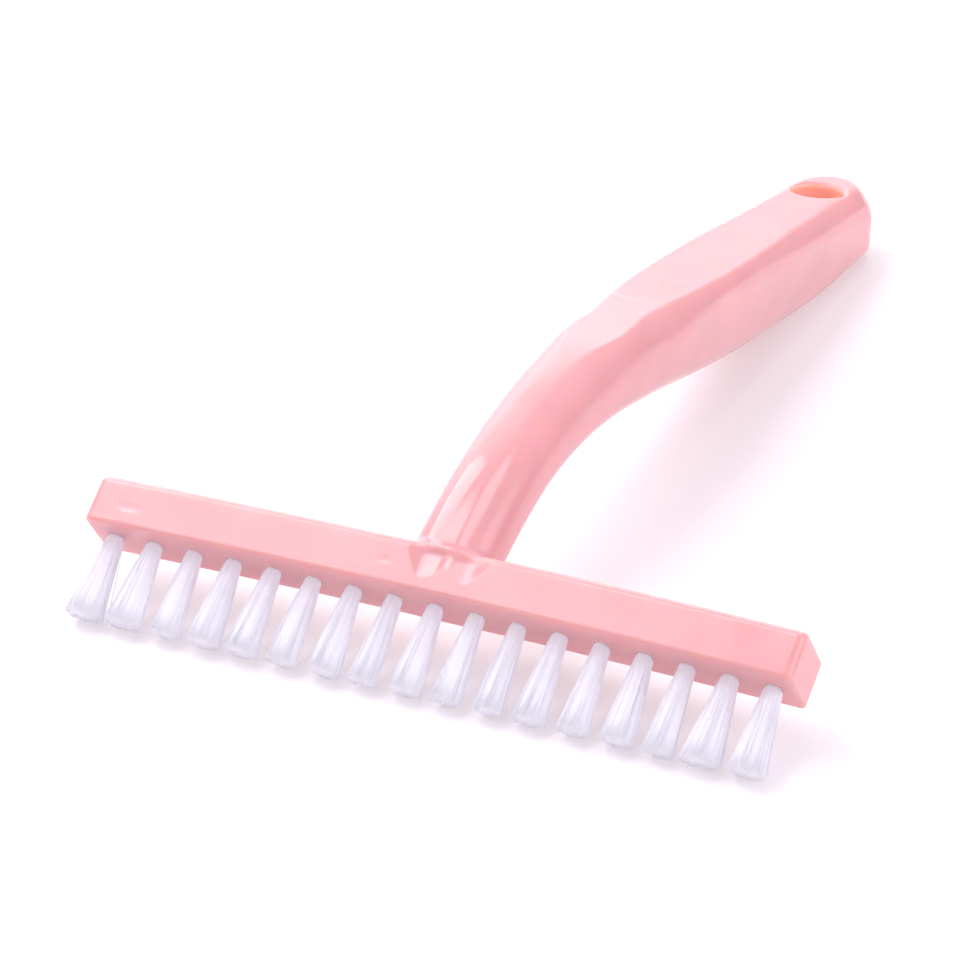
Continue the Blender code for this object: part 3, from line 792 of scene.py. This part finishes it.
def build_tuft(tufts, number, solid_box):
    bundle = Bundle(tufts, number)
    bodies = [tuft_core(bundle)]
    middle = np.array((bundle.middle, 0.0, 0.0))
    for line in filament_lines(tufts, bundle):
        line = cut_at_table(line + middle) - middle
        bodies.append(tube_around(line, tufts.thickness))
    points, faces = [], []
    total = 0
    for corners, squares in bodies:
        points.append(corners + middle)
        faces.extend(tuple(corner + total for corner in square) for square in squares)
        total += len(corners)
    mesh = bpy.data.meshes.new(f"nylon_tuft_{number + 1:02d}")
    mesh.from_pydata(np.clip(to_table(np.concatenate(points)), *np.array(solid_box)), (), faces)
    mesh.shade_smooth()
    return mesh


# Finishes: scale and detail of their patterns, where a pattern turns, and the shares of a colour
# or a roughness that it turns between

PATTERN_TURN = (0.3, 0.7)
CLOUD_SCALE, CLOUD_DETAIL = 45.0, 3.0
CLOUD_TURN = (0.35, 0.65)
CLOUD_TONES = (0.97, 1.03)
MARK_SCALE, MARK_DETAIL = 900.0, 6.0
MARK_SHARES = (0.85, 1.2)
WAVE_SCALE, WAVE_DETAIL = 70.0, 1.0
WAVE_STRENGTH = 0.35
WAVE_HEIGHT = 0.0006
PLASTIC_IOR = 1.49
GLOW_DEPTH = 0.006
GLOW_DEPTH_SHARES = (1.0, 0.45, 0.25)
FILAMENT_TONES = (0.94, 1.03)
GRAIN_SCALE, GRAIN_DETAIL = 2500.0, 2.0
NYLON_ROUGHNESS = (0.50, 0.62)
NYLON_IOR = 1.53
STREAK_SCALE, STREAK_DETAIL = 3000.0, 4.0
STREAK_TONES = (0.85, 1.1)
STEEL_ROUGHNESS = (0.25, 0.45)
FIBRE_SCALE, FIBRE_DETAIL = 400.0, 4.0
FIBRE_TONES = (0.995, 1.005)
PAPER_ROUGHNESS = 0.6
PAPER_SPECULAR = 0.2


def new_finish(name):
    material = bpy.data.materials.new(name)
    material.use_nodes = True
    nodes = material.node_tree.nodes
    return material, nodes, material.node_tree.links, nodes["Principled BSDF"]


def noise_over(nodes, links, scale, detail):
    """A cloudy pattern over a piece, finer with its scale and rougher with its detail."""
    place = nodes.new("ShaderNodeTexCoord")
    noise = nodes.new("ShaderNodeTexNoise")
    noise.inputs["Scale"].default_value = scale
    noise.inputs["Detail"].default_value = detail
    links.new(place.outputs["Object"], noise.inputs["Vector"])
    return noise.outputs["Fac"]


def seen_from(nodes, links, origin, turn):
    """Where a spot on a piece is, as seen from an origin that is turned about X."""
    place = nodes.new("ShaderNodeTexCoord")
    seen = nodes.new("ShaderNodeMapping")
    seen.vector_type = "TEXTURE"
    seen.inputs["Location"].default_value = origin
    seen.inputs["Rotation"].default_value = (turn, 0.0, 0.0)
    links.new(place.outputs["Object"], seen.inputs["Vector"])
    return seen


def shaded(colour, factor):
    """A colour made lighter or darker, with full cover."""
    return (*(min(channel * factor, 1.0) for channel in colour), 1.0)


def toned_colour(nodes, links, source, colour, turn, tones):
    """A colour that goes from its first tone to its second as a pattern goes through its turn."""
    ramp = nodes.new("ShaderNodeValToRGB")
    for element, position, tone in zip(ramp.color_ramp.elements, turn, tones):
        element.position = position
        element.color = shaded(colour, tone)
    links.new(source, ramp.inputs["Fac"])
    return ramp.outputs["Color"]


def turned_value(nodes, links, source, values):
    """A value that goes from the first to the second as a pattern goes through its turn."""
    spread = nodes.new("ShaderNodeMapRange")
    for name, value in zip(("From Min", "From Max", "To Min", "To Max"), (*PATTERN_TURN, *values)):
        spread.inputs[name].default_value = value
    links.new(source, spread.inputs["Value"])
    return spread.outputs["Result"]


def hole_nearness(nodes, links):
    """How near a place is to the axis of the hang hole, from 1 on it to 0 at the glow's reach."""
    centre = to_table(np.array((0.0, *line_place(HANG_ALONG))))
    axis = seen_from(nodes, links, centre, BRUSH_LEAN + math.pi / 2 - GRIP_LEAN)
    axis.inputs["Scale"].default_value = (HOLE_GLOW_REACH, HOLE_GLOW_REACH, HOLE_GLOW_LENGTH)
    nearness = nodes.new("ShaderNodeTexGradient")
    nearness.gradient_type = "SPHERICAL"
    links.new(axis.outputs["Vector"], nearness.inputs["Vector"])
    return nearness.outputs["Fac"]


def pink_plastic(moulding):
    """Glossy moulded plastic: faint clouds of colour, fine handling marks and slow waves.

    Inside the hang hole a warmer colour is painted on, a painted glow for the light that comes
    through the thin end.
    """
    material, nodes, links, shader = new_finish("pink_plastic")
    clouds = noise_over(nodes, links, CLOUD_SCALE, CLOUD_DETAIL)
    clouded = toned_colour(nodes, links, clouds, moulding.colour, CLOUD_TURN, CLOUD_TONES)
    # painted glow: inside the hang hole the base colour is mixed towards a warmer one, standing in
    # for light through the thin end
    painted_glow_share = nodes.new("ShaderNodeMapRange")
    painted_glow_share.interpolation_type = "SMOOTHSTEP"
    for end, past_wall in zip(("From Min", "From Max"), HOLE_GLOW_EDGE):
        painted_glow_share.inputs[end].default_value = 1.0 - (HANG_RADIUS + past_wall) / HOLE_GLOW_REACH
    links.new(hole_nearness(nodes, links), painted_glow_share.inputs["Value"])
    tint = nodes.new("ShaderNodeMix")
    tint.data_type = "RGBA"
    links.new(painted_glow_share.outputs["Result"], tint.inputs["Factor"])
    links.new(clouded, tint.inputs["A"])
    tint.inputs["B"].default_value = (*moulding.painted_hole_glow, 1.0)
    links.new(tint.outputs["Result"], shader.inputs["Base Color"])
    marks = noise_over(nodes, links, MARK_SCALE, MARK_DETAIL)
    roughnesses = [moulding.roughness * share for share in MARK_SHARES]
    links.new(turned_value(nodes, links, marks, roughnesses), shader.inputs["Roughness"])
    bump = nodes.new("ShaderNodeBump")
    bump.inputs["Strength"].default_value = WAVE_STRENGTH
    bump.inputs["Distance"].default_value = WAVE_HEIGHT
    links.new(noise_over(nodes, links, WAVE_SCALE, WAVE_DETAIL), bump.inputs["Height"])
    links.new(bump.outputs["Normal"], shader.inputs["Normal"])
    shader.inputs["IOR"].default_value = PLASTIC_IOR
    shader.inputs["Subsurface Weight"].default_value = 1.0
    shader.inputs["Subsurface Radius"].default_value = GLOW_DEPTH_SHARES
    shader.inputs["Subsurface Scale"].default_value = GLOW_DEPTH
    return material


def tuft_share(nodes, links):
    """How far up a tuft a place is, from 0 at the trimmed tips to 1 at the mouth of its hole."""
    laid = seen_from(nodes, links, BRUSH_PLACE, BRUSH_LEAN)
    height = nodes.new("ShaderNodeSeparateXYZ")
    links.new(laid.outputs["Vector"], height.inputs["Vector"])
    share = nodes.new("ShaderNodeMapRange")
    share.inputs["From Min"].default_value = HEAD_UNDERSIDE - TRIM_LENGTH
    share.inputs["From Max"].default_value = HEAD_UNDERSIDE
    links.new(height.outputs["Z"], share.inputs["Value"])
    return share.outputs["Result"]


def white_nylon(tufts):
    """Clear-edged white nylon, each filament a little lighter or darker than its neighbours.

    Its emission is a painted glow, strongest at the mouth of its hole and at its tips, that lifts
    the shade there.
    """
    material, nodes, links, shader = new_finish("white_nylon")
    geometry = nodes.new("ShaderNodeNewGeometry")
    chance = geometry.outputs["Random Per Island"]
    mixed = toned_colour(nodes, links, chance, tufts.colour, (0.0, 1.0), FILAMENT_TONES)
    links.new(mixed, shader.inputs["Base Color"])
    grain = noise_over(nodes, links, GRAIN_SCALE, GRAIN_DETAIL)
    links.new(turned_value(nodes, links, grain, NYLON_ROUGHNESS), shader.inputs["Roughness"])
    shader.inputs["IOR"].default_value = NYLON_IOR
    # painted glow: emission along the tuft, stronger at the mouth and the tips where shade falls
    painted_glow = nodes.new("ShaderNodeValToRGB")
    elements = painted_glow.color_ramp.elements
    for position, _ in PAINTED_GLOW_SHARES[1:-1]:
        elements.new(position)
    for element, (_, share) in zip(elements, PAINTED_GLOW_SHARES):
        element.color = shaded(tufts.colour, share * tufts.painted_glow)
    links.new(tuft_share(nodes, links), painted_glow.inputs["Fac"])
    links.new(painted_glow.outputs["Color"], shader.inputs["Emission Color"])
    shader.inputs["Emission Strength"].default_value = 1.0
    return material


def anchor_steel(anchors):
    """Drawn steel strip: bright, with fine streaks and a little dulling."""
    material, nodes, links, shader = new_finish("anchor_steel")
    streaks = noise_over(nodes, links, STREAK_SCALE, STREAK_DETAIL)
    streaked = toned_colour(nodes, links, streaks, anchors.colour, PATTERN_TURN, STREAK_TONES)
    links.new(streaked, shader.inputs["Base Color"])
    links.new(turned_value(nodes, links, streaks, STEEL_ROUGHNESS), shader.inputs["Roughness"])
    shader.inputs["Metallic"].default_value = 1.0
    return material


def studio_paper(studio):
    """Seamless white paper with the faintest fibre."""
    material, nodes, links, shader = new_finish("studio_paper")
    fibre = noise_over(nodes, links, FIBRE_SCALE, FIBRE_DETAIL)
    paper = toned_colour(nodes, links, fibre, studio.floor_colour, PATTERN_TURN, FIBRE_TONES)
    links.new(paper, shader.inputs["Base Color"])
    shader.inputs["Roughness"].default_value = PAPER_ROUGHNESS
    shader.inputs["Specular IOR Level"].default_value = PAPER_SPECULAR
    shader.inputs["Emission Color"].default_value = (1.0, 1.0, 1.0, 1.0)
    shader.inputs["Emission Strength"].default_value = studio.floor_glow
    return material


# Assembly


def add_piece(name, mesh, material):
    piece = bpy.data.objects.new(name, mesh)
    bpy.context.scene.collection.objects.link(piece)
    mesh.materials.append(material)
    return piece


def add_softbox(name, place, aim, size, power):
    """A flat light that looks from its place towards the point it is aimed at."""
    data = bpy.data.lights.new(name, "AREA")
    data.shape = "RECTANGLE"
    data.size, data.size_y = size
    data.energy = power
    lamp = bpy.data.objects.new(name, data)
    bpy.context.scene.collection.objects.link(lamp)
    lamp.location = place
    lamp.rotation_euler = (Vector(aim) - Vector(place)).to_track_quat("-Z", "Y").to_euler()


def add_floor(material):
    half = FLOOR_SIZE / 2
    mesh = bpy.data.meshes.new("studio_floor")
    corners = [(-half, -half, 0.0), (half, -half, 0.0), (half, half, 0.0), (-half, half, 0.0)]
    mesh.from_pydata(corners, (), [(0, 1, 2, 3)])
    floor = add_piece("studio_floor", mesh, material)
    floor.location.z = -FLOOR_DROP


def add_patch(nodes, links, direction, patch):
    """A soft round patch of light in the surroundings, from its direction, reach and strength."""
    bearing, height, middle, edge, strength = patch
    bearing, height = math.radians(bearing), math.radians(height)
    facing = nodes.new("ShaderNodeVectorMath")
    facing.operation = "DOT_PRODUCT"
    facing.inputs[1].default_value = (
        math.cos(height) * math.cos(bearing),
        math.cos(height) * math.sin(bearing),
        math.sin(height),
    )
    links.new(direction.outputs["Generated"], facing.inputs[0])
    spread = nodes.new("ShaderNodeMapRange")
    spread.interpolation_type = "SMOOTHSTEP"
    spread.inputs["From Min"].default_value = math.cos(math.radians(edge))
    spread.inputs["From Max"].default_value = math.cos(math.radians(middle))
    spread.inputs["To Max"].default_value = strength
    links.new(facing.outputs["Value"], spread.inputs["Value"])
    return spread.outputs["Result"]


def set_surroundings(studio):
    """Light from all round: dim and even, with the soft patches of a studio's lit walls added."""
    world = bpy.data.worlds.new("studio_surroundings")
    bpy.context.scene.world = world
    world.use_nodes = True
    nodes, links = world.node_tree.nodes, world.node_tree.links
    direction = nodes.new("ShaderNodeTexCoord")
    total = None
    for patch in PATCHES:
        adding = nodes.new("ShaderNodeMath")
        adding.operation = "ADD"
        links.new(add_patch(nodes, links, direction, patch), adding.inputs[0])
        if total is None:
            adding.inputs[1].default_value = studio.even_light
        else:
            links.new(total, adding.inputs[1])
        total = adding.outputs["Value"]
    background = nodes["Background"]
    background.inputs["Color"].default_value = (*studio.surroundings_colour, 1.0)
    links.new(total, background.inputs["Strength"])


def set_camera():
    data = bpy.data.cameras.new("studio_camera")
    data.lens = CAMERA_LENS
    data.sensor_width = CAMERA_SENSOR
    data.clip_end = CAMERA_REACH
    camera = bpy.data.objects.new("studio_camera", data)
    bpy.context.scene.collection.objects.link(camera)
    camera.location = CAMERA_PLACE
    camera.rotation_euler = Euler([math.radians(turn) for turn in CAMERA_TURN])
    bpy.context.scene.camera = camera


# Settings


class MouldingSettings(bpy.types.PropertyGroup):
    colour: bpy.props.FloatVectorProperty(
        name="Colour", description="Colour of the moulded plastic", subtype="COLOR",
        size=3, min=0.0, max=1.0, default=(0.80, 0.41, 0.428),
    )
    # painted glow: warmer colour painted inside the hang hole for light shining through the thin
    # end
    painted_hole_glow: bpy.props.FloatVectorProperty(
        name="Hole colour", description="Colour of the plastic inside the hang hole",
        subtype="COLOR", size=3, min=0.0, max=1.0, default=(1.0, 0.56, 0.47),
    )
    roughness: bpy.props.FloatProperty(
        name="Roughness", description="How dull the plastic is", subtype="FACTOR",
        min=0.02, max=1.0, default=0.08,
    )
    root_blend: bpy.props.FloatProperty(
        name="Root blend", description="Reach of the hollow fillet between head and neck",
        unit="LENGTH", min=0.0002, max=0.01, default=0.0022, precision=4,
    )
    rest_edge: bpy.props.FloatProperty(
        name="Rest edge", description="Radius of the edge round the thumb rest",
        unit="LENGTH", min=0.0002, max=0.005, default=REST_EDGE, precision=4,
    )
    hole_rim: bpy.props.FloatProperty(
        name="Hole rim", description="Radius of the hang hole's two rims",
        unit="LENGTH", min=0.0002, max=0.003, default=0.0017, precision=4,
    )
    cell: bpy.props.FloatProperty(
        name="Skin step", description="Width of the small squares that the skin is made of",
        unit="LENGTH", min=0.0003, max=0.002, default=0.0005, precision=4,
    )


class TuftSettings(bpy.types.PropertyGroup):
    colour: bpy.props.FloatVectorProperty(
        name="Colour", description="Colour of the nylon filaments", subtype="COLOR",
        size=3, min=0.0, max=1.0, default=(0.82, 0.80, 0.875),
    )
    # painted glow: emission of the nylon that brightens the tufts in their shade
    painted_glow: bpy.props.FloatProperty(
        name="Glow", description="Light that the clear nylon carries along inside the filaments",
        min=0.0, max=1.0, default=0.28,
    )
    filament_count: bpy.props.IntProperty(
        name="Filaments", description="Filament tips in each tuft", min=20, max=300, default=200,
    )
    thickness: bpy.props.FloatProperty(
        name="Thickness", description="Diameter of one filament",
        unit="LENGTH", min=0.0001, max=0.0005, default=0.0002, precision=5,
    )
    spread: bpy.props.FloatProperty(
        name="Spread", description="Diameter of a tuft at its trimmed tip",
        unit="LENGTH", min=0.004, max=0.0095, default=0.0083, precision=4,
    )
    raggedness: bpy.props.FloatProperty(
        name="Raggedness", description="How much shorter the shortest filament is",
        unit="LENGTH", min=0.0, max=0.003, default=0.0014, precision=4,
    )
    seed: bpy.props.IntProperty(
        name="Seed", description="Another number gives other filaments", min=0, default=11,
    )


class AnchorSettings(bpy.types.PropertyGroup):
    colour: bpy.props.FloatVectorProperty(
        name="Colour", description="Colour of the anchors' steel", subtype="COLOR",
        size=3, min=0.0, max=1.0, default=(0.60, 0.58, 0.55),
    )


class StudioSettings(bpy.types.PropertyGroup):
    floor_colour: bpy.props.FloatVectorProperty(
        name="Floor", description="Colour of the paper that the brush lies on", subtype="COLOR",
        size=3, min=0.0, max=1.0, default=(0.66, 0.61, 0.645),
    )
    surroundings_colour: bpy.props.FloatVectorProperty(
        name="Surroundings", description="Colour of the light from all round", subtype="COLOR",
        size=3, min=0.0, max=1.0, default=(0.97, 0.95, 1.0),
    )
    even_light: bpy.props.FloatProperty(
        name="Even light", description="Strength of the light that comes from every side",
        min=0.0, max=5.0, default=0.31,
    )
    key_power: bpy.props.FloatProperty(
        name="Key light", description="Power of the large softbox", unit="POWER",
        min=0.0, max=500.0, default=4.0,
    )
    floor_glow: bpy.props.FloatProperty(
        name="Floor glow", description="Light that comes through the paper from below",
        min=0.0, max=2.0, default=0.31,
    )


# Operators


class BRUSH_OT_mould_body(bpy.types.Operator):
    """Moulds the one-piece body, with its head bar, neck, thumb rest and holes"""

    bl_idname = "brush.mould_body"
    bl_label = "Mould body"

    def execute(self, context):
        moulding = context.scene.brush_moulding
        mesh = build_body(moulding, SOLID_BOX)
        piece = add_piece("moulded_body", mesh, pink_plastic(moulding))
        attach(piece, BODY)
        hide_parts("brush_body")
        return {"FINISHED"}


class BRUSH_OT_set_tufts(bpy.types.Operator):
    """Sets the 17 tufts of folded nylon filaments in their holes"""

    bl_idname = "brush.set_tufts"
    bl_label = "Set tufts"

    def execute(self, context):
        tufts = context.scene.brush_tufts
        nylon = white_nylon(tufts)
        for number in range(TUFT_COUNT):
            mesh = build_tuft(tufts, number, SOLID_BOX)
            piece = add_piece(mesh.name, mesh, nylon)
            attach(piece, BODY)
            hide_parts(f"tuft_{number + 1:02d}")
        return {"FINISHED"}


class BRUSH_OT_finish_anchors(bpy.types.Operator):
    """Gives the 17 anchors of the solids their steel finish"""

    bl_idname = "brush.finish_anchors"
    bl_label = "Finish anchors"

    def execute(self, context):
        steel = anchor_steel(context.scene.brush_anchors)
        for number in range(TUFT_COUNT):
            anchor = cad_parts[f"anchor_{number + 1:02d}"]
            for material_slot in anchor.material_slots:
                material_slot.material = steel
        return {"FINISHED"}


class BRUSH_OT_light_studio(bpy.types.Operator):
    """Lays the paper floor, lights it from all round and by a softbox, and sets the camera"""

    bl_idname = "brush.light_studio"
    bl_label = "Light studio"

    def execute(self, context):
        studio = context.scene.brush_studio
        add_floor(studio_paper(studio))
        set_surroundings(studio)
        add_softbox("key_softbox", KEY_PLACE, KEY_AIM, KEY_SIZE, studio.key_power)
        set_camera()
        context.scene.view_settings.view_transform = "Standard"
        return {"FINISHED"}


class BRUSH_PT_sidebar(bpy.types.Panel):
    """Lists the brush's pieces in the sidebar"""

    bl_idname = "BRUSH_PT_sidebar"
    bl_label = "Blind cleaning brush"
    bl_space_type = "VIEW_3D"
    bl_region_type = "UI"
    bl_category = "Brush"

    def draw(self, context):
        for name, operator in (
            ("brush_moulding", "brush.mould_body"),
            ("brush_tufts", "brush.set_tufts"),
            ("brush_anchors", "brush.finish_anchors"),
            ("brush_studio", "brush.light_studio"),
        ):
            box = self.layout.box()
            settings = getattr(context.scene, name)
            for key in settings.__annotations__:
                box.prop(settings, key)
            box.operator(operator)


SETTINGS = {
    "brush_moulding": MouldingSettings,
    "brush_tufts": TuftSettings,
    "brush_anchors": AnchorSettings,
    "brush_studio": StudioSettings,
}
CLASSES = (
    *SETTINGS.values(),
    BRUSH_OT_mould_body,
    BRUSH_OT_set_tufts,
    BRUSH_OT_finish_anchors,
    BRUSH_OT_light_studio,
    BRUSH_PT_sidebar,
)


def register():
    for made in CLASSES:
        bpy.utils.register_class(made)
    for name, settings in SETTINGS.items():
        setattr(bpy.types.Scene, name, bpy.props.PointerProperty(type=settings))


def unregister():
    for name in SETTINGS:
        delattr(bpy.types.Scene, name)
    for made in reversed(CLASSES):
        bpy.utils.unregister_class(made)


def main():
    register()
    bpy.ops.brush.mould_body()
    bpy.ops.brush.set_tufts()
    bpy.ops.brush.finish_anchors()
    bpy.ops.brush.light_studio()


if __name__ == "__main__":
    main()
